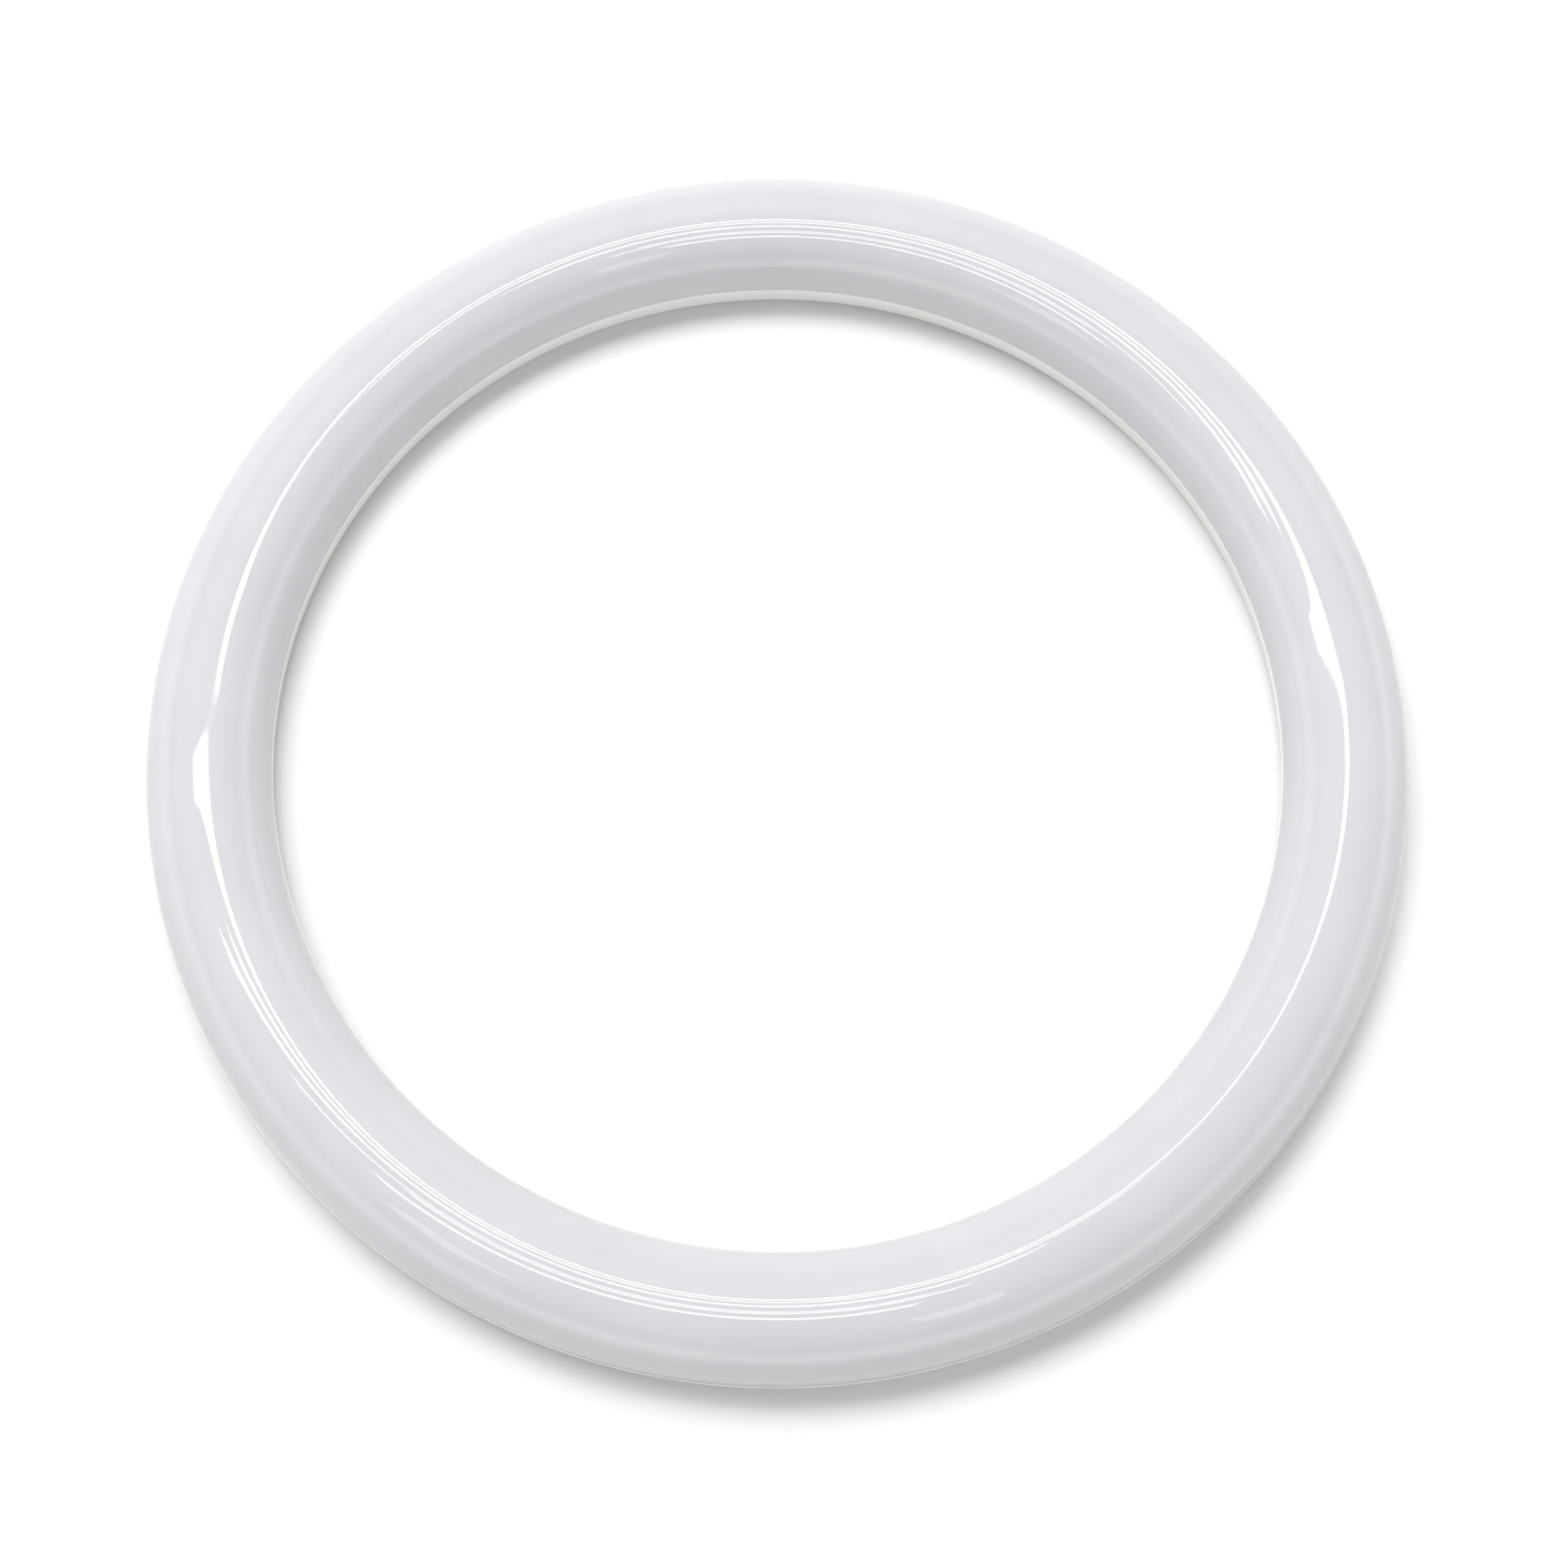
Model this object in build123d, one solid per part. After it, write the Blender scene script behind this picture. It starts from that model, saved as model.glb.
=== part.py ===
from build123d import *

import math
import os

# Circular led tube: a milky half-round cover clipped onto a flat-backed tray, with four quarter-ring
# led boards, a mains driver in the tray's channel and a four-pin lamp connector recessed in the back.
# Millimetres and degrees. The ring's axis is Z, the flat back lies on Z = 0 and the cover faces +Z.
# Angles run about Z from +X. In the channel, an offset is measured outwards from its middle.

# Ring
rim_outer_radius = 150.0
rim_width = 29.8          # of the tube, from lip to lip
seam_height = 7.4
outer_lip = 0.35          # how far the rim lip stands proud of the cover, outside
inner_lip = 0.1           # and inside

# Cover
cover_wall = 1.4
cover_gap = 0.15          # between the cover and the tray's tongues

# Tray
floor_wall = 1.8
side_wall = 1.9
lip_height = 0.7
outer_foot_inset = 0.55   # the walls stand back from the lip
inner_foot_inset = 1.1
foot_chamfer = 0.5
tongue_wall = 1.4
tongue_height = 4.6
web_wall = 1.2
web_count = 12

# Snap joint
bead_rise = 1.4           # from the seam up to the bead's catch face
bead_height = 1.2
bead_depth = 0.4
bead_gap = 0.1

# Led boards
seat_height = 10.3
seat_overlap = 1.6        # how far the webs reach under a board's edge
board_wall = 1.0
board_count = 4
board_gap = 0.8           # between neighbouring boards
board_side_gap = 0.25     # between a board and the tray's tongues
leds_per_row = 12
led_length = 3.5
led_width = 2.8
led_height = 0.8
led_row_spacing = 9.0

# Bridges from board to board
bridge_span = 5.0
bridge_foot = 1.6
bridge_rise = 0.6
bridge_wall = 0.3
bridge_width = 2.0
bridge_spacing = 14.0

# Board screws
screws_per_board = 2
screw_spread = 60.0       # angle between the two screws of a board
screw_radius = 1.25
screw_length = 7.0
screw_head_radius = 2.5
screw_head_height = 1.5
screw_hole_gap = 0.25
recess_length = 3.2
recess_width = 0.8
recess_depth = 0.7
boss_radius = 3.1
boss_hole_gap = 0.05
boss_hole_spare = 0.8     # below the screw's tip
boss_clearance = 0.5      # round a boss, in the driver board and the sheet

# Connector
connector_angle = 270.0
pin_spacing_along = 10.16
pin_spacing_across = 6.35
pin_radius = 1.18
pin_shank_radius = 0.9    # in the block and strips
pin_length = 6.6
pin_chamfer = 0.35
rivet_height = 0.2
pocket_length = 22.0
pocket_width = 17.0
pocket_corner = 2.5
pocket_wall = 1.3
block_rim = 0.9           # how far the block overlaps the pocket's wall
block_wall = 2.1
block_height = 7.2        # of the face that the pins stand on
strip_wall = 0.3
strip_width = 2.6
strip_tail = 5.0          # beyond the pocket's wall

# Driver board
driver_before_boss = 58.9 # along the channel, to the board's ends
driver_after_boss = 51.8
driver_width = 16.0
driver_wall = 1.2
driver_height = 3.0       # of its underside
post_radius = 1.6
post_inset = 2.4
sheet_wall = 0.3
sheet_gap = 0.05

# Driver parts
lead_wall = 0.4
lead_width = 0.7
filter_can_radius = 3.9
filter_can_length = 15.0
filter_can_rise = 0.3     # above the tray's floor
filter_notch_gap = 0.4
output_can_radius = 2.8
output_can_length = 10.0
can_groove_place = 2.0
can_groove = 0.3
film_length = 10.0
film_width = 4.6
film_height = 5.4
film_edge = 0.5
coil_radius = 4.6
coil_core_radius = 2.2
coil_height = 5.6
coil_flange = 0.9
winding_gap = 0.3
varistor_radius = 3.5
varistor_wall = 2.8
fuse_radius = 1.4
fuse_cap_radius = 1.6
fuse_length = 7.0
fuse_cap = 1.4
package_taper = 6.0
package_stand = 0.15
chip_size = (4.9, 3.9, 1.5)
chip_pitch = 1.27
bridge_size = (4.8, 4.0, 1.6)
bridge_pitch = 2.5
diode_size = (4.3, 2.6, 2.1)
foot_reach = 1.1          # from a package's side to the end of its foot
resistor_length = 2.0
resistor_width = 1.25
resistor_height = 0.5
resistor_count = 4
resistor_pitch = 2.1

# Places on the driver board: along the channel from its screw boss, and outwards from the middle
film_along = -34.4
film_across = 4.4
fuse_across = -4.6        # beside the film capacitor
varistor_along = -22.9
varistor_across = 3.7
bridge_across = -3.9      # beside the varistor
chip_along = -11.3
resistors_across = -5.6   # beside the chip
diode_along = 10.1
diode_across = -4.4
coil_along = 22.4
coil_across = 1.2
output_can_along = 37.2
output_can_across = -3.6

# Leads
wire_radius = 0.65
wire_bend = 6.0
output_bend = 2.0
output_hole_radius = 2.6
output_wire_spacing = 2.4
output_wire_reach = 7.0
input_pad_across = 6.1
input_pad_reach = 4.7     # from the driver board's end onto its pads
input_wire_start = 1.4    # from the pocket's wall to the lead's end, its first bend and its way down
input_wire_bend = 9.4
input_wire_fall = 28.3
input_wire_landing = 7.1  # before the driver board
input_wire_spread = 0.6   # of the first bend, towards its pad
input_wire_bow = 0.3      # added where a straight run cuts inside the channel's curve

# Radii and heights that follow
rim_inner_radius = rim_outer_radius - rim_width
cover_outer_radius = rim_outer_radius - outer_lip
cover_inner_radius = rim_inner_radius + inner_lip
tube_radius = (cover_outer_radius + cover_inner_radius) / 2
arch_radius = (cover_outer_radius - cover_inner_radius) / 2
cover_inside = arch_radius - cover_wall


def half_width(radius, height):
    """Half the width of the tube's round section at a height above the seam."""
    return math.sqrt(radius ** 2 - height ** 2)


tongue_foot = cover_inside - cover_gap
tongue_head = half_width(tongue_foot, tongue_height)
tongue_inside = tongue_head - tongue_wall
board_half = tongue_inside - board_side_gap
seat_half = board_half - seat_overlap
board_top = seat_height + board_wall
driver_top = driver_height + driver_wall
block_top = block_height + block_wall


def arc_of(length):
    """The angle that a length takes along the channel's middle."""
    return math.degrees(length / tube_radius)


# The driver board is pierced by the next board's first screw boss after the connector
driver_boss_angle = connector_angle + 360 / board_count - screw_spread / 2
driver_start = driver_boss_angle - arc_of(driver_before_boss)
driver_end = driver_boss_angle + arc_of(driver_after_boss)
output_angle = driver_end - arc_of(post_inset)
notch_arc = arc_of(filter_can_length + filter_notch_gap)


def at(angle, offset=0.0, height=0.0):
    """A place in the channel. Its X runs towards smaller angles and its Y outwards."""
    return Rot(0, 0, angle) * Pos(tube_radius + offset, 0, height) * Rot(0, 0, -90)


def on_driver(along, across=0.0, height=0.0):
    """A place on the driver board's face."""
    return at(driver_boss_angle + arc_of(along), across, driver_top + height)


def point(angle, offset, height):
    return at(angle, offset, height).position


def spun(face):
    """Turns a face of radius and height about the ring's axis."""
    return revolve(Plane.XZ * face, Axis.Z, revolution_arc=360)


def arc_slab(half, wall, start, end, height):
    """A flat piece of the ring, as wide as twice half."""
    face = Pos(tube_radius, height + wall / 2) * Rectangle(2 * half, wall)
    return Rot(0, 0, start) * revolve(Plane.XZ * face, Axis.Z, revolution_arc=end - start)


def group(pieces):
    """Separate solids that share one node."""
    return Compound(children=list(pieces))


def in_arc(angle, start, end):
    return (angle - start) % 360 <= (end - start) % 360


def board_middle(index):
    return 360 / board_count * index


def screw_angles():
    """The screws of each board, spread evenly about its middle."""
    for index in range(board_count):
        for i in range(screws_per_board):
            yield board_middle(index) + screw_spread * (i - (screws_per_board - 1) / 2)


def boss_holes():
    """What the driver board and the sheet leave free round the screw bosses."""
    return [at(angle) * extrude(Circle(boss_radius + boss_clearance), seat_height)
            for angle in screw_angles()]


# Cover and tray

def bead(side):
    """Section of a snap bead: a flat catch below and a sloping lead above. side is 1 outside, -1 inside."""
    low = bead_rise
    high = bead_rise + bead_height
    rooted = cover_wall / 2
    outline = [
        (half_width(cover_inside, low) + rooted, low),
        (half_width(tongue_foot, low) - bead_depth, low),
        (half_width(cover_inside, high) + rooted, high),
    ]
    return make_face(Polyline(*[(tube_radius + side * x, seam_height + z) for x, z in outline],
                              close=True))


def diffuser():
    upper_half = Pos(0, arch_radius) * Rectangle(2 * arch_radius, 2 * arch_radius)
    arch = (Circle(arch_radius) - Circle(cover_inside)) & upper_half
    return spun(Pos(tube_radius, seam_height) * arch) + [spun(bead(side)) for side in (1, -1)]


def wall_outline(side):
    """One side of the tray's section, from the foot over the rim lip and tongue down to the floor."""
    lip = rim_outer_radius if side > 0 else rim_inner_radius
    foot = lip - side * (outer_foot_inset if side > 0 else inner_foot_inset)
    return [
        (foot - side * foot_chamfer, 0),
        (foot, foot_chamfer),
        (foot, seam_height - lip_height),
        (lip, seam_height - lip_height),
        (lip, seam_height),
        (tube_radius + side * tongue_foot, seam_height),
        (tube_radius + side * tongue_head, seam_height + tongue_height),
        (tube_radius + side * tongue_inside, seam_height + tongue_height),
        (tube_radius + side * tongue_inside, seam_height + side_wall / 2),
        (foot - side * side_wall, seam_height - side_wall / 2),
        (foot - side * side_wall, floor_wall),
    ]


def webs():
    """Cross webs up to the boards' seat. Over the driver and connector only their ends are left."""
    inner = rim_inner_radius + inner_foot_inset + side_wall / 2
    outer = rim_outer_radius - outer_foot_inset - side_wall / 2
    rooted = floor_wall / 2
    pocket_arc = arc_of(pocket_length / 2 + pocket_wall + web_wall)
    for i in range(web_count):
        angle = 360 / web_count * (i + 0.5)
        low = Box(outer - inner, web_wall, seam_height - side_wall - rooted,
                  align=(Align.MIN, Align.CENTER, Align.MIN))
        high = Pos(tube_radius - tongue_inside - inner, 0, 0) * Box(
            2 * tongue_inside, web_wall, seat_height - rooted,
            align=(Align.MIN, Align.CENTER, Align.MIN))
        web = Pos(inner, 0, rooted) * (low + high)
        if in_arc(angle, connector_angle - pocket_arc, driver_end):
            web -= Pos(tube_radius, 0, floor_wall) * Box(
                2 * seat_half, 2 * web_wall, seat_height, align=(Align.CENTER, Align.CENTER, Align.MIN))
        yield Rot(0, 0, angle) * web


def pocket(grow, height):
    outline = RectangleRounded(pocket_length + 2 * grow, pocket_width + 2 * grow, pocket_corner + grow)
    return at(connector_angle) * extrude(outline, height)


def bosses():
    return [at(angle, height=floor_wall / 2) * extrude(Circle(boss_radius), seat_height - floor_wall / 2)
            for angle in screw_angles()]


def posts():
    """Four posts under the driver board's corners, clear of the notch."""
    for angle in (driver_start + notch_arc + arc_of(post_inset), output_angle):
        for side in (1, -1):
            place = at(angle, side * (driver_width / 2 - post_inset), floor_wall / 2)
            yield place * extrude(Circle(post_radius), driver_height - floor_wall / 2)


def base_shell():
    section = make_face(Polyline(*wall_outline(1), *reversed(wall_outline(-1)), close=True))
    grooves = [offset(bead(side), bead_gap, kind=Kind.INTERSECTION) for side in (1, -1)]
    tray = spun(section - grooves)
    hole_depth = screw_length - board_wall + boss_hole_spare
    holes = [at(angle, height=seat_height - hole_depth)
             * extrude(Circle(screw_radius + boss_hole_gap), hole_depth) for angle in screw_angles()]
    solid = tray + [*webs(), *bosses(), *posts(), pocket(pocket_wall, block_height)]
    return solid - holes - pocket(0, block_height)


# Led boards

def led_board(index):
    middle = board_middle(index)
    half = 180 / board_count - arc_of(board_gap / 2)
    board = arc_slab(board_half, board_wall, middle - half, middle + half, seat_height)
    holes = [at(angle, height=seat_height) * extrude(Circle(screw_radius + screw_hole_gap), board_wall)
             for angle in screw_angles() if in_arc(angle, middle - half, middle + half)]
    if in_arc(output_angle, middle - half, middle + half):
        holes.append(at(output_angle, height=seat_height)
                     * extrude(Circle(output_hole_radius), board_wall))
    return board - holes


def led_chips(index):
    """Two rows of packages along a board."""
    pitch = 360 / board_count / leds_per_row
    package = extrude(Rectangle(led_length, led_width), led_height)
    for i in range(leds_per_row):
        angle = board_middle(index) + pitch * (i - (leds_per_row - 1) / 2)
        for side in (1, -1):
            yield at(angle, side * led_row_spacing / 2, board_top) * package


def board_bridges():
    """Bent metal straps over the gaps between boards, two to a gap."""
    foot, half, top = bridge_span / 2 + bridge_foot, bridge_span / 2, bridge_rise + bridge_wall
    right = [(foot, 0), (foot, bridge_wall), (half, bridge_wall), (half, top)]
    under = [(half - bridge_wall, 0), (half - bridge_wall, bridge_rise)]
    outline = [*right, *[(-x, z) for x, z in reversed(right)],
               *[(-x, z) for x, z in under], *reversed(under)]
    strap = extrude(Plane.XZ * make_face(Polyline(*outline, close=True)), bridge_width / 2, both=True)
    for index in range(board_count):
        for side in (1, -1):
            yield at(board_middle(index + 0.5), side * bridge_spacing / 2, board_top) * strap


def board_screws():
    """Pan-head screws with a cross recess."""
    head = extrude(Circle(screw_head_radius), screw_head_height)
    slot = Box(recess_length, recess_width, 2 * recess_depth)
    recess = Pos(0, 0, screw_head_height) * (slot + Rot(0, 0, 90) * slot)
    screw = head - recess + extrude(Circle(screw_radius), -screw_length)
    return [at(angle, height=board_top) * screw for angle in screw_angles()]


def insulating_sheet():
    """Film under the boards, from the connector to the driver's end."""
    start = connector_angle - arc_of(pocket_length / 2 + pocket_wall)
    sheet = arc_slab(seat_half - sheet_gap, sheet_wall, start, driver_end + arc_of(output_hole_radius),
                     seat_height - sheet_gap - sheet_wall)
    return sheet - boss_holes() - at(output_angle) * extrude(Circle(output_hole_radius), seat_height)


# Connector

def pin_places():
    for x in (1, -1):
        for y in (1, -1):
            yield at(connector_angle) * Pos(x * pin_spacing_along / 2, y * pin_spacing_across / 2, 0)


def connector_block():
    plate = pocket(block_rim, block_top) - pocket(block_rim, block_height)
    return plate - [place * extrude(Circle(pin_shank_radius), block_top) for place in pin_places()]


def connector_pins():
    """Round pins that end short of the back's plane, each on a thinner shank riveted over the strips."""
    pin = extrude(Circle(pin_radius), -pin_length)
    pin = chamfer(pin.edges().group_by(Axis.Z)[0], pin_chamfer)
    shank = extrude(Circle(pin_shank_radius), block_wall + strip_wall + rivet_height)
    return [place * Pos(0, 0, block_height) * (pin + shank) for place in pin_places()]


def contact_strips():
    """Two strips, each over a pair of pins, with a tail towards the driver."""
    tail = pocket_length / 2 + pocket_wall + strip_tail
    head = pin_spacing_along / 2 + strip_width / 2
    for side in (1, -1):
        strip = at(connector_angle, side * pin_spacing_across / 2, block_top) * Pos(
            (head - tail) / 2, 0, 0) * extrude(Rectangle(head + tail, strip_width), strip_wall)
        yield strip - [place * extrude(Circle(pin_shank_radius), seat_height) for place in pin_places()]


# Driver

def driver_board():
    board = arc_slab(driver_width / 2, driver_wall, driver_start, driver_end, driver_height)
    notch = at(driver_start, height=driver_height) * Box(
        2 * (filter_can_length + filter_notch_gap), 2 * (filter_can_radius + filter_notch_gap),
        3 * driver_wall)
    return board - boss_holes() - notch


def can(radius, length):
    """A lying can along X with a crimp groove near its lead end, at the middle of its length."""
    outline = [(0, 0), (radius, 0), (radius, can_groove_place), (radius - can_groove, can_groove_place
               + can_groove), (radius, can_groove_place + 2 * can_groove), (radius, length), (0, length)]
    body = revolve(Plane.XZ * make_face(Polyline(*outline, close=True)), Axis.Z, revolution_arc=360)
    return Rot(0, 90, 0) * Pos(0, 0, -length / 2) * body


def can_leads(radius, length, drop):
    """Two flat leads from a can's lead end, bent down onto the board."""
    start, reach = -length / 2, 2 * lead_width
    outline = [(start, 0), (start - reach, 0), (start - reach, -drop),
               (start - reach + lead_wall, -drop), (start - reach + lead_wall, -lead_wall),
               (start, -lead_wall)]
    lead = extrude(Plane.XZ * make_face(Polyline(*outline, close=True)), lead_width / 2, both=True)
    return [Pos(0, side * radius / 2, 0) * lead for side in (1, -1)]


def filter_capacitor():
    """The large capacitor lies in the driver board's notch, with its leads on the board."""
    height = floor_wall + filter_can_rise + filter_can_radius
    place = at(driver_start + arc_of(filter_can_length / 2), height=height)
    return place * (can(filter_can_radius, filter_can_length)
                    + can_leads(filter_can_radius, filter_can_length, height - driver_top))


def output_capacitor():
    place = on_driver(output_can_along, output_can_across, output_can_radius)
    return place * (can(output_can_radius, output_can_length)
                    + can_leads(output_can_radius, output_can_length, output_can_radius))


def film_capacitor():
    box = extrude(Rectangle(film_length, film_width), film_height)
    edges = box.edges().group_by(Axis.Z)[-1] + box.edges().filter_by(Axis.Z)
    return on_driver(film_along, film_across) * chamfer(edges, film_edge)


def coil_place():
    return on_driver(coil_along, coil_across)


def inductor_core():
    """Drum core: two flanges on a post."""
    flange = extrude(Circle(coil_radius), coil_flange)
    post = extrude(Circle(coil_core_radius), coil_height)
    return coil_place() * (flange + post + Pos(0, 0, coil_height - coil_flange) * flange)


def inductor_winding():
    height = coil_height - 2 * coil_flange
    ring = Circle(coil_radius - winding_gap) - Circle(coil_core_radius)
    return coil_place() * Pos(0, 0, coil_flange) * extrude(ring, height)


def varistor():
    disc = extrude(Circle(varistor_radius), varistor_wall)
    return on_driver(varistor_along, varistor_across) * chamfer(disc.edges(), film_edge)


def input_fuse():
    """Wire-wound fuse: a body between two caps, lying along the board."""
    body = Cylinder(fuse_radius, fuse_length)
    caps = [Pos(0, 0, side * (fuse_length - fuse_cap) / 2) * Cylinder(fuse_cap_radius, fuse_cap)
            for side in (1, -1)]
    return on_driver(film_along, fuse_across, fuse_cap_radius) * Rot(0, 90, 0) * (body + caps)


def foot(width):
    """A package's bent foot, from its side down to the board."""
    side_height = package_stand + 2 * lead_wall
    outline = [(-lead_wall, side_height), (foot_reach / 2, side_height), (foot_reach / 2, lead_wall),
               (foot_reach, lead_wall), (foot_reach, 0), (foot_reach / 2 - lead_wall, 0),
               (foot_reach / 2 - lead_wall, side_height - lead_wall), (-lead_wall, side_height - lead_wall)]
    return extrude(Plane.XZ * make_face(Polyline(*outline, close=True)), width / 2, both=True)


def package(size, feet, pitch, width):
    """A moulded package with feet along its two ends in X."""
    length, breadth, height = size
    body = Pos(0, 0, package_stand) * extrude(Rectangle(length, breadth), height, taper=package_taper)
    row = [Pos(length / 2 - lead_wall / 2, pitch * (i - (feet - 1) / 2), 0) * foot(width)
           for i in range(feet)]
    return body + row + [Rot(0, 0, 180) * piece for piece in row]


def bridge_rectifier():
    return on_driver(varistor_along, bridge_across) * package(bridge_size, 2, bridge_pitch, lead_width)


def driver_chip():
    return on_driver(chip_along) * Rot(0, 0, 90) * package(chip_size, 3, chip_pitch, lead_width / 2)


def output_diode():
    return on_driver(diode_along, diode_across) * package(diode_size, 1, 0, 2 * lead_width)


def sense_resistors():
    for i in range(resistor_count):
        place = on_driver(chip_along, resistors_across) * Pos(
            resistor_pitch * (i - (resistor_count - 1) / 2), 0, 0)
        yield place * extrude(Rectangle(resistor_width, resistor_length), resistor_height)


# Leads

def wire(points, bend):
    path = FilletPolyline(*points, radius=bend)
    start = path @ 0
    return sweep(Plane(origin=start, z_dir=path % 0) * Circle(wire_radius), path=path)


def input_lead(side):
    """From under a strip's tail, past the screw boss, down onto the driver board."""
    wall = connector_angle + arc_of(pocket_length / 2 + pocket_wall)
    under = block_top - wire_radius
    on_board = driver_top + wire_radius
    on_strip = pin_spacing_across / 2
    bowed = input_pad_across + input_wire_bow
    return wire([
        point(wall + arc_of(input_wire_start), side * on_strip, under),
        point(wall + arc_of(input_wire_bend), side * (on_strip + input_wire_spread), under),
        point(wall + arc_of(input_wire_fall), side * bowed, (under + on_board) / 2),
        point(driver_start - arc_of(input_wire_landing), side * bowed, on_board),
        point(driver_start + arc_of(input_pad_reach), side * input_pad_across, on_board),
    ], wire_bend)


def output_lead(side):
    """From the driver board up through the led board and along its face."""
    across = side * output_wire_spacing / 2
    above = board_top + wire_radius
    return wire([
        point(output_angle, across, driver_top),
        point(output_angle, across, above),
        point(output_angle + arc_of(output_wire_reach), across, above),
    ], output_bend)


nodes = {
    "diffuser": diffuser(),
    "base_shell": base_shell(),
    "board_bridges": group(board_bridges()),
    "board_screws": group(board_screws()),
    "insulating_sheet": insulating_sheet(),
    "connector_block": connector_block(),
    "connector_pins": group(connector_pins()),
    "contact_strips": group(contact_strips()),
    "driver_board": driver_board(),
    "input_fuse": input_fuse(),
    "varistor": varistor(),
    "bridge_rectifier": bridge_rectifier(),
    "filter_capacitor": filter_capacitor(),
    "film_capacitor": film_capacitor(),
    "inductor_core": inductor_core(),
    "inductor_winding": inductor_winding(),
    "driver_chip": driver_chip(),
    "output_diode": output_diode(),
    "output_capacitor": output_capacitor(),
    "sense_resistors": group(sense_resistors()),
    "live_lead": input_lead(1),
    "neutral_lead": input_lead(-1),
    "positive_lead": output_lead(1),
    "negative_lead": output_lead(-1),
}
for number in range(board_count):
    nodes[f"led_board_{number + 1}"] = led_board(number)
    nodes[f"led_chips_{number + 1}"] = group(led_chips(number))

os.makedirs("parts", exist_ok=True)
for name, shape in nodes.items():
    export_step(shape, f"parts/{name}.step")
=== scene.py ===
import math

import bpy
from mathutils import Matrix, Vector


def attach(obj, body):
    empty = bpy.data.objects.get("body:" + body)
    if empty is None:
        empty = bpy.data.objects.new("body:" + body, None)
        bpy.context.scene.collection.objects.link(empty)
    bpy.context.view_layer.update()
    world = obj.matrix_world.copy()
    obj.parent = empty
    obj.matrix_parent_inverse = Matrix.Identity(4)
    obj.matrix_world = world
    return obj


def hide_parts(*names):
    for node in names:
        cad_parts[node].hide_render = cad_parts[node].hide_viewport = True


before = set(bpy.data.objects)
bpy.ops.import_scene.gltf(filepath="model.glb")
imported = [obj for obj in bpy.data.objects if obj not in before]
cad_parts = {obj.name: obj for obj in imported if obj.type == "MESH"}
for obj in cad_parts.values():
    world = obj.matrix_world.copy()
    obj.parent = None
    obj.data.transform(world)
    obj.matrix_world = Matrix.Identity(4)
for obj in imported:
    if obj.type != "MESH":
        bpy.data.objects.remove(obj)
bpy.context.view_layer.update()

mm = 0.001

# The ring, as in the part's source
rim_outer_radius = 150.0 * mm
rim_inner_radius = 120.2 * mm
seam_height = 7.4 * mm
outer_lip = 0.35 * mm
inner_lip = 0.1 * mm
cover_wall = 1.4 * mm
cover_gap = 0.15 * mm
floor_wall = 1.8 * mm
side_wall = 1.9 * mm
lip_height = 0.7 * mm
outer_foot_inset = 0.55 * mm
inner_foot_inset = 1.1 * mm
foot_chamfer = 0.5 * mm
tongue_height = 4.6 * mm
tongue_wall = 1.4 * mm
pocket_length = 22.0 * mm
pocket_width = 17.0 * mm
pocket_corner = 2.5 * mm
pocket_wall = 1.3 * mm
block_height = 7.2 * mm
bead_rise = 1.4 * mm
bead_height = 1.2 * mm
bead_depth = 0.4 * mm
bead_gap = 0.1 * mm
bead_top = 1.94 * mm      # where the bead's slope meets the cover's wall
seat_height = 10.3 * mm
seat_reach = 1.85 * mm    # from the tongues to the seat's inner edge, over the driver
web_wall = 1.2 * mm
rib_root = 0.3 * mm       # how far the webs reach into the tongues
web_count = 12
screw_angles = (330, 30, 60, 120, 150, 210, 240, 300)
boss_radius = 3.1 * mm
screw_hole_radius = 1.3 * mm
screw_hole_depth = 6.8 * mm
driver_height = 3.0 * mm
post_radius = 1.6 * mm
post_offset = 5.6 * mm
post_angles = (312.555, 350.971)
driver_arc = (264, 353)   # where the webs make room for the connector and the driver

cover_outer_radius = rim_outer_radius - outer_lip
cover_inner_radius = rim_inner_radius + inner_lip
tube_radius = (cover_outer_radius + cover_inner_radius) / 2
arch_radius = (cover_outer_radius - cover_inner_radius) / 2
cover_inside = arch_radius - cover_wall
tongue_foot = cover_inside - cover_gap
tongue_head = math.sqrt(tongue_foot ** 2 - tongue_height ** 2)
tongue_inside = tongue_head - tongue_wall

turn_steps = 288          # segments round the ring
arch_steps = 96           # segments round a whole tube
corner_steps = 8          # segments round a block's upright edge
stud_steps = 32
smooth_below = 30         # degrees: sharper edges stay sharp
cover_edge_round = 0.22 * mm
lip_top_round = 0.25 * mm
lip_under_round = 0.15 * mm
small = 0.01 * mm         # closer than this counts as the same place


# Camera, fitted to the ring's outlines

def set_camera():
    eye = Vector((0.0, -0.1845, 0.5709))
    target = Vector((0.0016, -0.0081, 0.0))
    roll = math.radians(1.53)
    back = (eye - target).normalized()
    side = Vector((0, 0, 1)).cross(back).normalized()
    up = back.cross(side)
    side, up = (math.cos(roll) * side + math.sin(roll) * up,
                math.cos(roll) * up - math.sin(roll) * side)
    data = bpy.data.cameras.new("camera")
    data.sensor_width = 36.0
    data.lens = 57.07
    data.clip_start = 0.01
    data.clip_end = 20.0
    camera = bpy.data.objects.new("camera", data)
    camera.matrix_world = Matrix((
        (side.x, up.x, back.x, eye.x),
        (side.y, up.y, back.y, eye.y),
        (side.z, up.z, back.z, eye.z),
        (0, 0, 0, 1)))
    bpy.context.scene.collection.objects.link(camera)
    bpy.context.scene.camera = camera


# Mesh helpers

def start_fresh():
    bpy.ops.object.select_all(action="DESELECT")


def activate(piece):
    start_fresh()
    piece.select_set(True)
    bpy.context.view_layer.objects.active = piece


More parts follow.
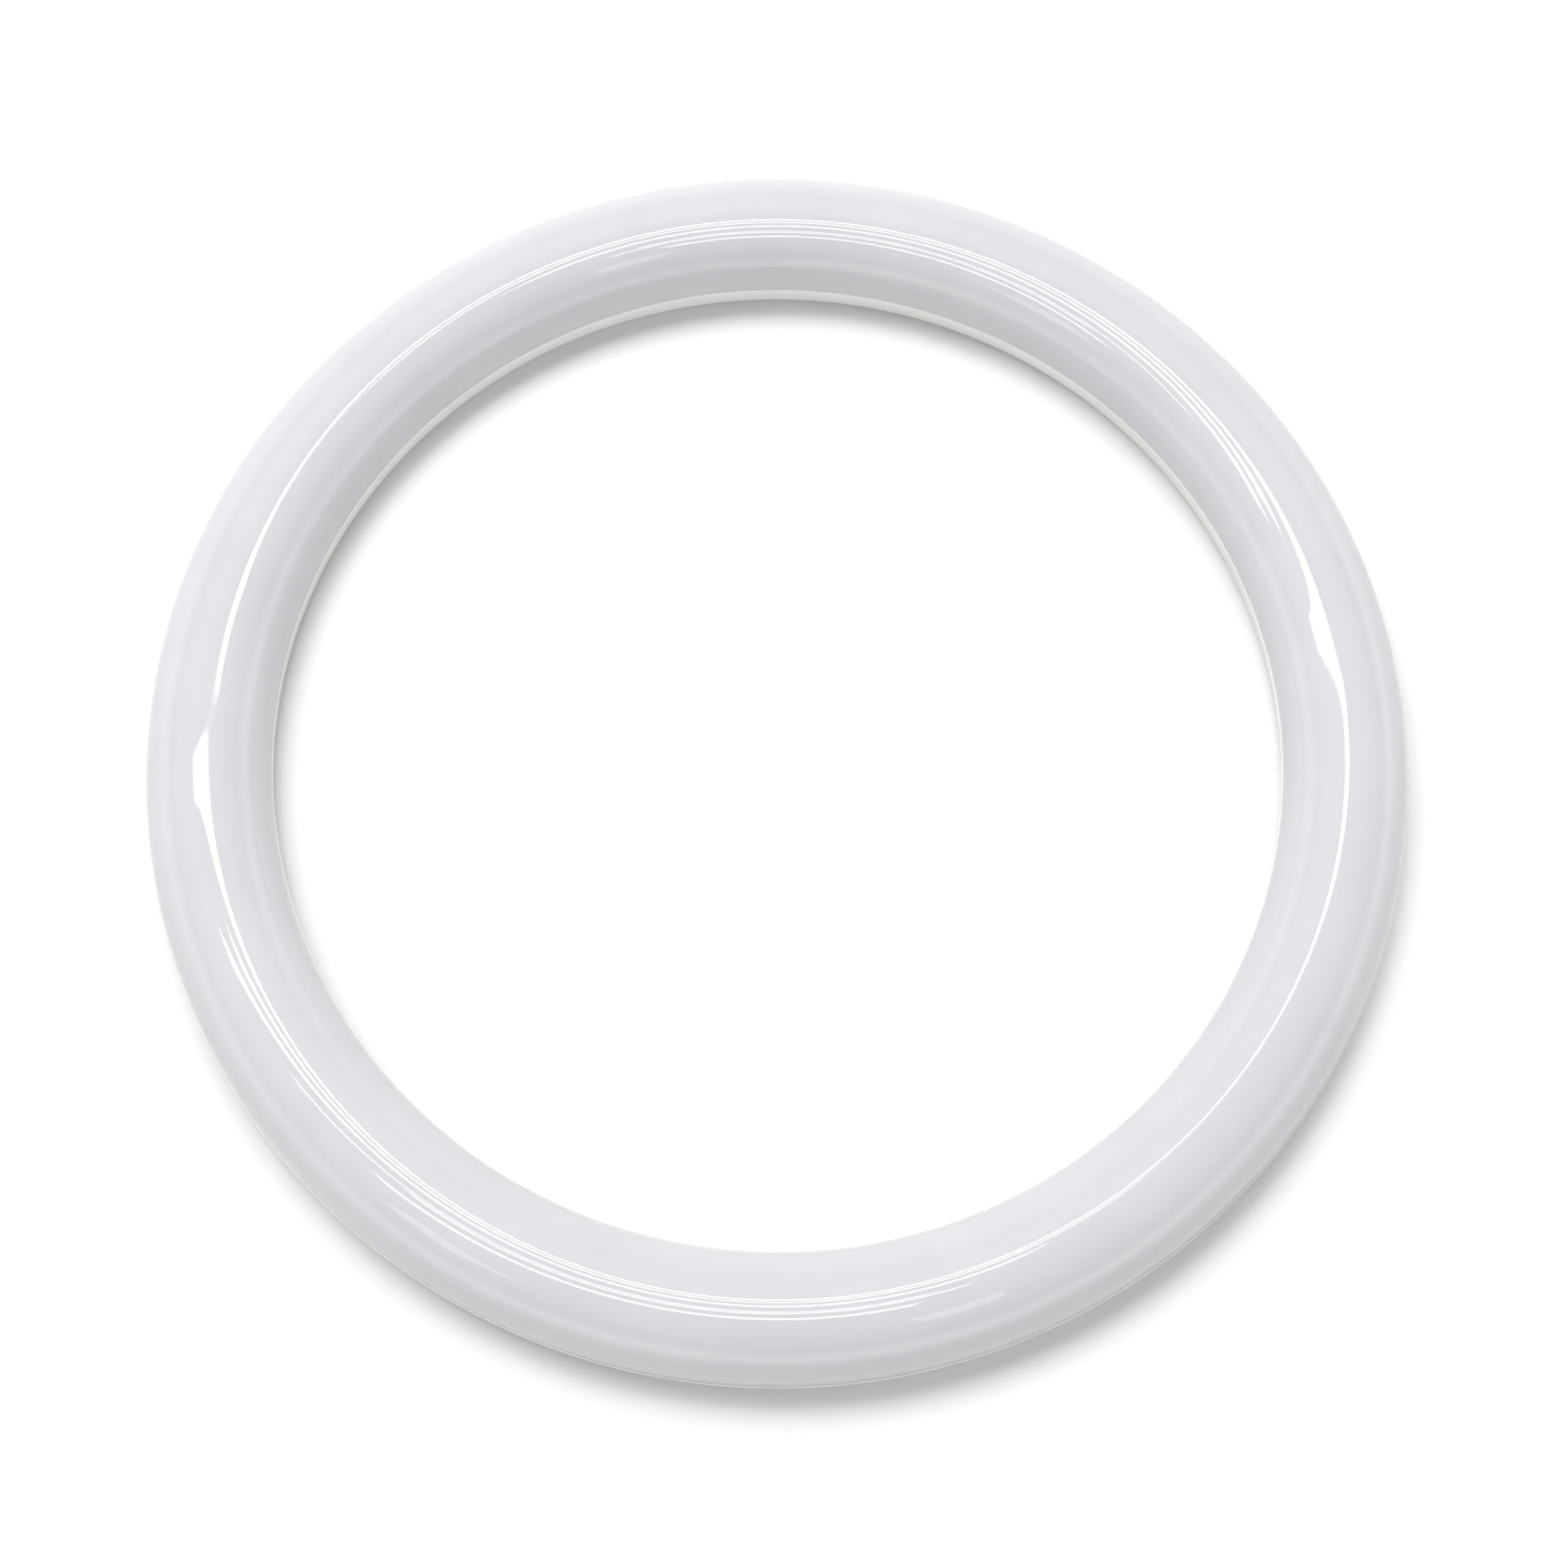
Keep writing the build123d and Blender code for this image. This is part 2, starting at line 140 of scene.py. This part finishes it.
def edit(piece):
    activate(piece)
    bpy.ops.object.mode_set(mode="EDIT")
    bpy.ops.mesh.select_all(action="DESELECT")


def leave_edit():
    bpy.ops.object.mode_set(mode="OBJECT")


def pick(piece, kind, test):
    """Selects the vertices, edges or faces whose middle passes a test, and nothing else."""
    bpy.ops.object.mode_set(mode="EDIT")
    bpy.ops.mesh.select_mode(type=kind)
    bpy.ops.mesh.select_all(action="DESELECT")
    bpy.ops.object.mode_set(mode="OBJECT")
    mesh = piece.data
    if kind == "VERT":
        for vertex in mesh.vertices:
            vertex.select = test(vertex.co)
    elif kind == "EDGE":
        for edge in mesh.edges:
            edge.select = all(test(mesh.vertices[i].co) for i in edge.vertices)
    else:
        for face in mesh.polygons:
            face.select = test(face)
    bpy.ops.object.mode_set(mode="EDIT")


def place_in_mesh(piece):
    """Moves the piece's place, turn and size into its mesh."""
    activate(piece)
    bpy.ops.object.transform_apply(location=True, rotation=True, scale=True)


def spin_round(piece):
    """Turns the section about the ring's axis and closes the seam."""
    edit(piece)
    bpy.ops.mesh.select_all(action="SELECT")
    bpy.ops.mesh.spin(steps=turn_steps, angle=2 * math.pi, center=(0, 0, 0), axis=(0, 0, 1))
    bpy.ops.mesh.select_all(action="SELECT")
    bpy.ops.mesh.remove_doubles(threshold=small)
    bpy.ops.mesh.normals_make_consistent(inside=False)
    leave_edit()


def smooth(piece):
    activate(piece)
    bpy.ops.object.shade_smooth_by_angle(angle=math.radians(smooth_below))


def radius_of(place):
    return math.hypot(place[0], place[1])


def half_width(radius, height):
    return math.sqrt(radius ** 2 - height ** 2)


# Milky cover

def raise_bead(cover, side):
    """Cuts a band into the cover's inner wall and pulls its lower edge out into the snap bead."""
    low, high = seam_height + bead_rise, seam_height + bead_top
    above_bead = 2 * mm

    def on_inner_wall(face):
        along = (radius_of(face.center) - tube_radius) * side
        return seam_height < face.center.z < high + above_bead \
            and tongue_head < along < cover_inside + small
    for height in (low, high):
        pick(cover, "FACE", on_inner_wall)
        bpy.ops.mesh.bisect(plane_co=(0, 0, height), plane_no=(0, 0, 1))
        leave_edit()
    pick(cover, "FACE", lambda face: on_inner_wall(face) and low < face.center.z < high)
    bpy.ops.mesh.extrude_region_move(TRANSFORM_OT_translate={"value": (0, 0, 0)})
    bpy.ops.mesh.select_mode(type="VERT")
    leave_edit()
    for vertex in cover.data.vertices:
        vertex.select = vertex.select and vertex.co.z < (low + high) / 2
    bpy.ops.object.mode_set(mode="EDIT")
    wall = tube_radius + side * half_width(cover_inside, bead_rise)
    pull = (tube_radius + side * bead_tip()[0]) / wall
    bpy.ops.transform.resize(value=(pull, pull, 1), center_override=(0, 0, 0))
    bpy.ops.mesh.select_all(action="SELECT")
    bpy.ops.mesh.remove_doubles(threshold=small)
    leave_edit()


def make_cover():
    """A circle cut at the seam, spun round the ring, given its wall and rounded below."""
    start_fresh()
    bpy.ops.mesh.primitive_circle_add(vertices=arch_steps, radius=arch_radius,
                                      location=(tube_radius, 0, seam_height),
                                      rotation=(math.pi / 2, 0, 0))
    cover = bpy.context.active_object
    cover.name = cover.data.name = "milky_cover"
    place_in_mesh(cover)
    edit(cover)
    bpy.ops.mesh.select_all(action="SELECT")
    bpy.ops.mesh.bisect(plane_co=(tube_radius, 0, seam_height), plane_no=(0, 0, 1),
                        clear_inner=True)
    leave_edit()
    spin_round(cover)
    outer_face = max(cover.data.polygons, key=lambda face: face.center.z)
    if outer_face.normal.z < 0:
        edit(cover)
        bpy.ops.mesh.select_all(action="SELECT")
        bpy.ops.mesh.flip_normals()
        leave_edit()
    wall = cover.modifiers.new("wall", "SOLIDIFY")
    wall.thickness = cover_wall
    wall.offset = -1
    wall.use_even_offset = True
    activate(cover)
    bpy.ops.object.modifier_apply(modifier="wall")
    for side in (1, -1):
        raise_bead(cover, side)
    for rim in (cover_outer_radius, cover_inner_radius):
        pick(cover, "EDGE", lambda place: abs(place.z - seam_height) < small
             and abs(radius_of(place) - rim) < 2 * small)
        bpy.ops.mesh.bevel(offset=cover_edge_round, segments=3, profile=0.5)
        leave_edit()
    smooth(cover)
    return cover


# Tray

def draw_outline(name, points):
    """Draws a closed section by extruding a corner from point to point."""
    start_fresh()
    first = points[0]
    bpy.ops.mesh.primitive_plane_add(size=mm, location=(first[0], 0, first[1]))
    piece = bpy.context.active_object
    piece.name = piece.data.name = name
    place_in_mesh(piece)
    edit(piece)
    bpy.ops.mesh.select_mode(type="VERT")
    bpy.ops.mesh.select_all(action="SELECT")
    bpy.ops.mesh.merge(type="CENTER")
    for (x, z), (next_x, next_z) in zip(points, points[1:]):
        bpy.ops.mesh.extrude_region_move(
            TRANSFORM_OT_translate={"value": (next_x - x, 0, next_z - z)})
    bpy.ops.mesh.select_all(action="SELECT")
    leave_edit()
    pick(piece, "VERT", lambda place: min(
        (place - Vector((points[0][0], 0, points[0][1]))).length,
        (place - Vector((points[-1][0], 0, points[-1][1]))).length) < small)
    bpy.ops.mesh.edge_face_add()
    leave_edit()
    return piece


def crossing(first, second):
    """Where two lines meet, each given by a place and a direction."""
    (x, z), (u, v) = first
    (other_x, other_z), (other_u, other_v) = second
    way = ((other_x - x) * other_v - (other_z - z) * other_u) / (u * other_v - v * other_u)
    return x + way * u, z + way * v


def bead_tip():
    return half_width(tongue_foot, bead_rise) - bead_depth, bead_rise


def snap_groove():
    """The groove round the cover's bead, from the tube's middle and the seam."""
    tip_x, tip_z = bead_tip()
    top = bead_rise + bead_height
    run, rise = half_width(cover_inside, top) + cover_wall / 2 - tip_x, top - tip_z
    away = bead_gap / math.hypot(run, rise)
    slope = (tip_x - rise * away, tip_z + run * away), (run, rise)
    catch = (0, bead_rise - bead_gap), (1, 0)
    tongue = (tongue_foot, 0), (tongue_head - tongue_foot, tongue_height)
    return [crossing(tongue, catch), crossing(catch, slope), crossing(slope, tongue)]


def wall_outline(side):
    lip = rim_outer_radius if side > 0 else rim_inner_radius
    foot = lip - side * (outer_foot_inset if side > 0 else inner_foot_inset)
    return [
        (foot - side * foot_chamfer, 0),
        (foot, foot_chamfer),
        (foot, seam_height - lip_height),
        (lip, seam_height - lip_height),
        (lip, seam_height),
        (tube_radius + side * tongue_foot, seam_height),
        *[(tube_radius + side * x, seam_height + z) for x, z in snap_groove()],
        (tube_radius + side * tongue_head, seam_height + tongue_height),
        (tube_radius + side * tongue_inside, seam_height + tongue_height),
        (tube_radius + side * tongue_inside, seam_height + side_wall / 2),
        (foot - side * side_wall, seam_height - side_wall / 2),
        (foot - side * side_wall, floor_wall),
    ]


def rounded_block(name, length, width, corner, low, high):
    """A box with rounded upright edges, standing over the connector."""
    start_fresh()
    bpy.ops.mesh.primitive_cube_add(size=1, location=(0, -tube_radius, (low + high) / 2))
    block = bpy.context.active_object
    block.name = block.data.name = name
    block.scale = (length, width, high - low)
    place_in_mesh(block)
    mesh = block.data
    edit(block)
    bpy.ops.mesh.select_mode(type="EDGE")
    bpy.ops.mesh.select_all(action="DESELECT")
    leave_edit()
    for edge in mesh.edges:
        a, b = (mesh.vertices[i].co for i in edge.vertices)
        edge.select = abs(a.z - b.z) > small
    bpy.ops.object.mode_set(mode="EDIT")
    bpy.ops.mesh.bevel(offset=corner, segments=corner_steps, profile=0.5)
    leave_edit()
    return block


def make_slab(name, outline, wall):
    """A flat piece standing across the ring, drawn at +X."""
    slab = draw_outline(name, outline)
    edit(slab)
    bpy.ops.mesh.select_all(action="SELECT")
    bpy.ops.mesh.edge_face_add()
    bpy.ops.transform.translate(value=(0, -wall / 2, 0))
    bpy.ops.mesh.extrude_region_move(TRANSFORM_OT_translate={"value": (0, wall, 0)})
    bpy.ops.mesh.select_all(action="SELECT")
    bpy.ops.mesh.normals_make_consistent(inside=False)
    leave_edit()
    return slab


def make_stud(name, offset, radius, low, high):
    """A round post in the channel, drawn at +X."""
    start_fresh()
    bpy.ops.mesh.primitive_cylinder_add(vertices=stud_steps, radius=radius, depth=high - low,
                                        location=(tube_radius + offset, 0, (low + high) / 2))
    stud = bpy.context.active_object
    stud.name = stud.data.name = name
    place_in_mesh(stud)
    return stud


def copies_round(piece, angles):
    """A copy of a piece at each angle round the ring, each with its own mesh. The first goes."""
    copies = []
    for angle in angles:
        copy = piece.copy()
        copy.data = piece.data.copy()
        copy.rotation_euler = (0, 0, math.radians(angle))
        bpy.context.scene.collection.objects.link(copy)
        place_in_mesh(copy)
        copies.append(copy)
    bpy.data.objects.remove(piece)
    return copies


def joined(pieces):
    start_fresh()
    for piece in pieces:
        piece.select_set(True)
    bpy.context.view_layer.objects.active = pieces[0]
    bpy.ops.object.join()
    return pieces[0]


def web_end(side):
    """Outline of one end of a web, from the seat's edge into the tray's wall."""
    wall_end = (rim_outer_radius - outer_foot_inset if side > 0 else rim_inner_radius
                + inner_foot_inset) - side * side_wall / 2
    seat_edge = tube_radius + side * (tongue_inside - seat_reach)
    rooted = tube_radius + side * (tongue_inside + rib_root)
    shoulder = seam_height - side_wall
    return [(seat_edge, floor_wall / 2), (wall_end, floor_wall / 2), (wall_end, shoulder),
            (rooted, shoulder), (rooted, seat_height), (seat_edge, seat_height)]


def make_ribs():
    """Cross webs, screw bosses, the driver's posts and the pocket's wall, in one mesh."""
    angles = [360 / web_count * (i + 0.5) for i in range(web_count)]
    cut_short = [angle for angle in angles if driver_arc[0] < angle < driver_arc[1]]
    whole = [angle for angle in angles if angle not in cut_short]
    right, left = web_end(1), web_end(-1)
    ribs = copies_round(make_slab("web", right[1:5] + left[1:5][::-1], web_wall), whole)
    for outline in (right, left):
        ribs += copies_round(make_slab("web_end", outline, web_wall), cut_short)
    ribs += copies_round(make_stud("boss", 0, boss_radius, floor_wall / 2, seat_height),
                         screw_angles)
    for side in (1, -1):
        ribs += copies_round(make_stud("post", side * post_offset, post_radius, floor_wall / 2,
                                       driver_height), post_angles)
    ribs.append(rounded_block("pocket_wall", pocket_length + 2 * pocket_wall,
                              pocket_width + 2 * pocket_wall, pocket_corner + pocket_wall,
                              floor_wall / 2, block_height))
    return joined(ribs)


def make_cuts():
    """The connector's pocket and the screws' holes, in one mesh."""
    holes = make_stud("screw_hole", 0, screw_hole_radius, seat_height - screw_hole_depth,
                      seat_height + mm)
    pocket = rounded_block("pocket", pocket_length, pocket_width, pocket_corner,
                           -floor_wall, block_height + floor_wall)
    return joined([*copies_round(holes, screw_angles), pocket])


def combine(piece, other, operation):
    change = piece.modifiers.new(operation.lower(), "BOOLEAN")
    change.operation = operation
    change.solver = "EXACT"
    change.object = other
    activate(piece)
    bpy.ops.object.modifier_apply(modifier=change.name)
    bpy.data.objects.remove(other)


def make_tray():
    tray = draw_outline("moulded_tray", wall_outline(1) + wall_outline(-1)[::-1])
    spin_round(tray)
    lips = [(rim_outer_radius, seam_height), (rim_outer_radius, seam_height - lip_height),
            (rim_inner_radius, seam_height), (rim_inner_radius, seam_height - lip_height)]
    for radius, height in lips:
        pick(tray, "EDGE", lambda place: abs(place.z - height) < small
             and abs(radius_of(place) - radius) < 2 * small)
        bpy.ops.mesh.bevel(offset=lip_top_round if height == seam_height else lip_under_round,
                           segments=3, profile=0.5)
        leave_edit()
    combine(tray, make_ribs(), "UNION")
    combine(tray, make_cuts(), "DIFFERENCE")
    smooth(tray)
    return tray


# Materials

noise_low, noise_high = 0.3, 0.7      # nearly all of a noise lies between these


class Finish:
    """A material with its nodes, and short ways to add more."""

    def __init__(self, name, colour, roughness):
        self.material = bpy.data.materials.new(name)
        self.material.use_nodes = True
        self.tree = self.material.node_tree
        self.shader = self.tree.nodes["Principled BSDF"]
        self.shader.inputs["Base Color"].default_value = (*colour, 1)
        self.shader.inputs["Roughness"].default_value = roughness
        self.places = self.add("ShaderNodeTexCoord")
        self.height = None

    def add(self, kind):
        return self.tree.nodes.new(kind)

    def link(self, source, target):
        self.tree.links.new(source, target)

    def noise(self, scale, detail):
        """Noise of a real size: scale is in grains per metre."""
        node = self.add("ShaderNodeTexNoise")
        node.inputs["Scale"].default_value = scale
        node.inputs["Detail"].default_value = detail
        node.inputs["Roughness"].default_value = 0.5
        self.link(self.places.outputs["Object"], node.inputs["Vector"])
        return node.outputs["Fac"]

    def range(self, source, low, high):
        node = self.add("ShaderNodeMapRange")
        node.inputs["From Min"].default_value = noise_low
        node.inputs["From Max"].default_value = noise_high
        node.inputs["To Min"].default_value = low
        node.inputs["To Max"].default_value = high
        self.link(source, node.inputs["Value"])
        return node.outputs["Result"]

    def tint(self, source, first, second):
        ramp = self.add("ShaderNodeValToRGB")
        ramp.color_ramp.elements[0].position = noise_low
        ramp.color_ramp.elements[1].position = noise_high
        ramp.color_ramp.elements[0].color = (*first, 1)
        ramp.color_ramp.elements[1].color = (*second, 1)
        self.link(source, ramp.inputs["Fac"])
        self.link(ramp.outputs["Color"], self.shader.inputs["Base Color"])

    def rough(self, source, low, high):
        self.link(self.range(source, low, high), self.shader.inputs["Roughness"])

    def bump(self, source, depth):
        node = self.add("ShaderNodeBump")
        node.inputs["Strength"].default_value = 1.0
        node.inputs["Distance"].default_value = depth
        self.link(source, node.inputs["Height"])
        if self.height:
            self.link(self.height, node.inputs["Normal"])
        self.height = node.outputs["Normal"]
        self.link(self.height, self.shader.inputs["Normal"])


def milky_cover_finish():
    finish = Finish("milky_cover", (0.488, 0.484, 0.506), 0.03)
    finish.shader.inputs["IOR"].default_value = 1.49
    finish.shader.inputs["Subsurface Weight"].default_value = 0.15
    finish.shader.inputs["Subsurface Radius"].default_value = (1.0, 0.95, 0.9)
    finish.shader.inputs["Subsurface Scale"].default_value = 1.5 * mm
    finish.tint(finish.noise(60, 2), (0.482, 0.477, 0.499), (0.495, 0.491, 0.513))
    finish.rough(finish.noise(60, 1), 0.024, 0.032)
    finish.bump(finish.noise(30, 1), 0.003 * mm)
    return finish


def moulded_finish(name, first, second, rough_low, rough_high, grain=4000, depth=0.01 * mm,
                   flow=45):
    """Moulded plastic: slow colour drift from the melt's flow, fine grain, uneven gloss."""
    finish = Finish(name, first, rough_low)
    finish.tint(finish.noise(flow, 3), first, second)
    finish.rough(finish.noise(grain / 8, 3), rough_low, rough_high)
    finish.bump(finish.noise(grain, 2), depth)
    return finish


def metal_finish(name, first, second, rough_low, rough_high, grain=2500):
    finish = moulded_finish(name, first, second, rough_low, rough_high, grain, 0.004 * mm, 200)
    finish.shader.inputs["Metallic"].default_value = 1.0
    return finish


def board_finish(name, first, second):
    finish = moulded_finish(name, first, second, 0.3, 0.42, 3000, 0.006 * mm, 120)
    finish.shader.inputs["Coat Weight"].default_value = 0.25
    finish.shader.inputs["Coat Roughness"].default_value = 0.2
    return finish


def dress(node, finish):
    """Gives a CAD node its better material."""
    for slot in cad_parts[node].material_slots:
        slot.material = finish.material


def give(piece, finish):
    piece.data.materials.clear()
    piece.data.materials.append(finish.material)


# Floor and light, in metres

floor_side = 3.0


def make_floor():
    start_fresh()
    bpy.ops.mesh.primitive_plane_add(size=floor_side, location=(0, 0, 0))
    floor = bpy.context.active_object
    floor.name = floor.data.name = "studio_floor"
    finish = Finish("studio_paper", (0.69, 0.69, 0.69), 0.8)
    finish.tint(finish.noise(8, 2), (0.685, 0.685, 0.685), (0.695, 0.695, 0.695))
    finish.bump(finish.noise(2500, 2), 0.01 * mm)
    finish.shader.inputs["Specular IOR Level"].default_value = 0.1
    give(floor, finish)


def add_light(name, place, size, radiance, turn=0.0, target=None):
    """A flat light as bright all over as the radiance says."""
    data = bpy.data.lights.new(name, "AREA")
    data.shape = "RECTANGLE"
    data.size, data.size_y = size
    data.energy = radiance * size[0] * size[1] * math.pi
    light = bpy.data.objects.new(name, data)
    light.location = place
    if target is None:
        light.rotation_euler = (0, 0, math.radians(turn))
    else:
        light.rotation_mode = "QUATERNION"
        light.rotation_quaternion = (Vector(place) - Vector(target)).to_track_quat("Z", "Y")
    bpy.context.scene.collection.objects.link(light)
    return light


def hat(tree, source, stops):
    """A ramp through pairs of place and level."""
    ramp = tree.nodes.new("ShaderNodeValToRGB")
    ramp.color_ramp.interpolation = "EASE"
    while len(ramp.color_ramp.elements) < len(stops):
        ramp.color_ramp.elements.new(0.5)
    for element, (place, level) in zip(ramp.color_ramp.elements, stops):
        element.position = place
        element.color = (level, level, level, 1)
    tree.links.new(source, ramp.inputs["Fac"])
    return ramp.outputs["Color"]


def sum_of(tree, kind, *sources):
    node = tree.nodes.new("ShaderNodeMath")
    node.operation = kind
    for socket, source in zip(node.inputs, sources):
        if isinstance(source, float):
            socket.default_value = source
        else:
            tree.links.new(source, socket)
    return node.outputs[0]


def set_sky():
    """White studio walls, as rings of light one above the other."""
    rings = [                 # height, and brightness at right, behind, at left and in front
        (0.0, (1.4, 0.9, 1.4, 1.65)),
        (0.22, (1.9, 0.65, 1.5, 2.2)),
        (0.48, (0.15, 0.15, 0.15, 0.15)),
        (0.7, (0.15, 0.75, 0.5, 0.15)),
        (0.88, (0.3, 0.85, 0.8, 0.15)),
        (1.0, (0.15, 0.15, 0.15, 0.15)),
    ]
    quarters = 4
    most = 4.0                # a ramp's levels stay below 1
    world = bpy.data.worlds.new("studio")
    bpy.context.scene.world = world
    world.use_nodes = True
    tree = world.node_tree
    direction = tree.nodes.new("ShaderNodeTexCoord")
    parts = tree.nodes.new("ShaderNodeSeparateXYZ")
    tree.links.new(direction.outputs["Generated"], parts.inputs["Vector"])
    turn = sum_of(tree, "ARCTAN2", parts.outputs["Y"], parts.outputs["X"])
    turn = sum_of(tree, "WRAP", sum_of(tree, "DIVIDE", turn, 2 * math.pi), 1.0, 0.0)
    total = None
    for i, (height, levels) in enumerate(rings):
        stops = [(height, 1)]
        if i > 0:
            stops.insert(0, (rings[i - 1][0], 0))
        if i < len(rings) - 1:
            stops.append((rings[i + 1][0], 0))
        band = hat(tree, parts.outputs["Z"], stops)
        around = hat(tree, turn, [(step / quarters, levels[step % quarters] / most)
                                  for step in range(quarters + 1)])
        ring = sum_of(tree, "MULTIPLY", band, around)
        total = ring if total is None else sum_of(tree, "ADD", total, ring)
    background = tree.nodes["Background"]
    background.inputs["Color"].default_value = (1, 1, 1, 1)
    tree.links.new(sum_of(tree, "MULTIPLY", total, most), background.inputs["Strength"])


def set_light():
    """Ceiling strips for the cover's thin highlights, side boxes, and softboxes for the shadows."""
    softbox_distance = 3.0
    softbox_side = 1.35
    ceiling = 0.7
    strip_radiance = 8.5
    side_box_height = 1.5
    side_box_radiance = 2.0
    # length, width, middle and turn of each ceiling strip, and how bright it is
    strips = [
        (0.46, 0.040, (-0.126, -0.201), 0.0, 1.0),
        (0.34, 0.022, (-0.061, -0.093), 0.5, 1.0),
        (0.44, 0.022, (-0.140, -0.056), -1.0, 0.9),
        (0.47, 0.036, (-0.149, 0.061), -1.0, 1.0),
        (0.29, 0.028, (-0.079, 0.140), 6.0, 0.9),
        (0.49, 0.032, (-0.140, 0.201), 3.0, 1.1),
    ]
    for i, (length, width, (x, y), turn, level) in enumerate(strips):
        strip = add_light(f"strip_{i + 1}", (x, y, ceiling), (length, width),
                          strip_radiance * level, turn)
        strip.visible_diffuse = False
    add_light("side_box_left", (-1.05, -1.1, side_box_height), (0.55, 0.4),
              side_box_radiance, turn=30.0)
    add_light("side_box_right", (0.52, -1.05, side_box_height), (0.25, 0.45),
              side_box_radiance, turn=25.0)
    # direction round the ring, height above the floor in degrees, and radiance
    softboxes = [
        ("softbox_back", 90, 60, 9.2),
        ("softbox_left", 135, 60, 9.4),
        ("softbox_right", 0, 40, 1.4),
        ("softbox_front", 270, 40, 1.8),
    ]
    for name, around, up, radiance in softboxes:
        around, up = math.radians(around), math.radians(up)
        place = Vector((math.cos(up) * math.cos(around), math.cos(up) * math.sin(around),
                        math.sin(up))) * softbox_distance
        softbox = add_light(name, place, (softbox_side, softbox_side), radiance,
                            target=(0, 0, 0))
        softbox.visible_glossy = False
    bpy.context.scene.view_settings.view_transform = "Standard"


set_sky()
set_camera()
make_floor()
set_light()

cover = make_cover()
give(cover, milky_cover_finish())
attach(cover, "root")
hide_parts("diffuser")

tray_finish = moulded_finish("white_tray", (0.735, 0.73, 0.712), (0.75, 0.745, 0.727), 0.32, 0.42)
tray = make_tray()
give(tray, tray_finish)
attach(tray, "root")
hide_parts("base_shell")

finishes = {
    "board_white": board_finish("board_white", (0.78, 0.79, 0.77), (0.82, 0.82, 0.80)),
    "led_package": moulded_finish("led_package", (0.80, 0.72, 0.35), (0.86, 0.78, 0.40), 0.25, 0.4),
    "pin_metal": metal_finish("pin_metal", (0.72, 0.71, 0.68), (0.80, 0.79, 0.76), 0.16, 0.28),
    "screw_steel": metal_finish("screw_steel", (0.60, 0.60, 0.60), (0.70, 0.70, 0.69), 0.25, 0.4),
    "clear_film": moulded_finish("clear_film", (0.80, 0.80, 0.76), (0.84, 0.84, 0.80), 0.2, 0.3),
    "connector_white": moulded_finish("connector_white", (0.74, 0.73, 0.69), (0.78, 0.77, 0.73),
                                      0.35, 0.5),
    "board_green": board_finish("board_green", (0.05, 0.22, 0.09), (0.07, 0.27, 0.12)),
    "fuse_green": moulded_finish("fuse_green", (0.18, 0.34, 0.16), (0.22, 0.40, 0.2), 0.35, 0.5),
    "varistor_blue": moulded_finish("varistor_blue", (0.05, 0.14, 0.42), (0.07, 0.18, 0.48),
                                    0.25, 0.4),
    "black_mould": moulded_finish("black_mould", (0.02, 0.02, 0.022), (0.03, 0.03, 0.032),
                                  0.45, 0.6),
    "can_sleeve": moulded_finish("can_sleeve", (0.02, 0.025, 0.04), (0.03, 0.035, 0.055),
                                 0.2, 0.32),
    "film_yellow": moulded_finish("film_yellow", (0.75, 0.52, 0.07), (0.80, 0.57, 0.1), 0.3, 0.45),
    "ferrite": moulded_finish("ferrite", (0.05, 0.05, 0.05), (0.08, 0.08, 0.08), 0.5, 0.7),
    "copper_winding": metal_finish("copper_winding", (0.62, 0.27, 0.12), (0.72, 0.33, 0.16),
                                   0.2, 0.35),
    "wire_brown": moulded_finish("wire_brown", (0.16, 0.07, 0.03), (0.19, 0.085, 0.04), 0.4, 0.5),
    "wire_blue": moulded_finish("wire_blue", (0.04, 0.12, 0.42), (0.05, 0.15, 0.48), 0.4, 0.5),
    "wire_red": moulded_finish("wire_red", (0.50, 0.03, 0.03), (0.56, 0.04, 0.04), 0.4, 0.5),
    "wire_black": moulded_finish("wire_black", (0.02, 0.02, 0.02), (0.03, 0.03, 0.03), 0.4, 0.5),
}
node_finish = {
    "board_bridges": "pin_metal", "connector_pins": "pin_metal", "contact_strips": "pin_metal",
    "board_screws": "screw_steel", "insulating_sheet": "clear_film",
    "connector_block": "connector_white", "driver_board": "board_green",
    "input_fuse": "fuse_green", "varistor": "varistor_blue", "bridge_rectifier": "black_mould",
    "driver_chip": "black_mould", "output_diode": "black_mould", "sense_resistors": "black_mould",
    "filter_capacitor": "can_sleeve", "output_capacitor": "can_sleeve",
    "film_capacitor": "film_yellow", "inductor_core": "ferrite",
    "inductor_winding": "copper_winding", "live_lead": "wire_brown", "neutral_lead": "wire_blue",
    "positive_lead": "wire_red", "negative_lead": "wire_black",
}
for number in range(1, 5):
    node_finish[f"led_board_{number}"] = "board_white"
    node_finish[f"led_chips_{number}"] = "led_package"
for node, slot in node_finish.items():
    dress(node, finishes[slot])
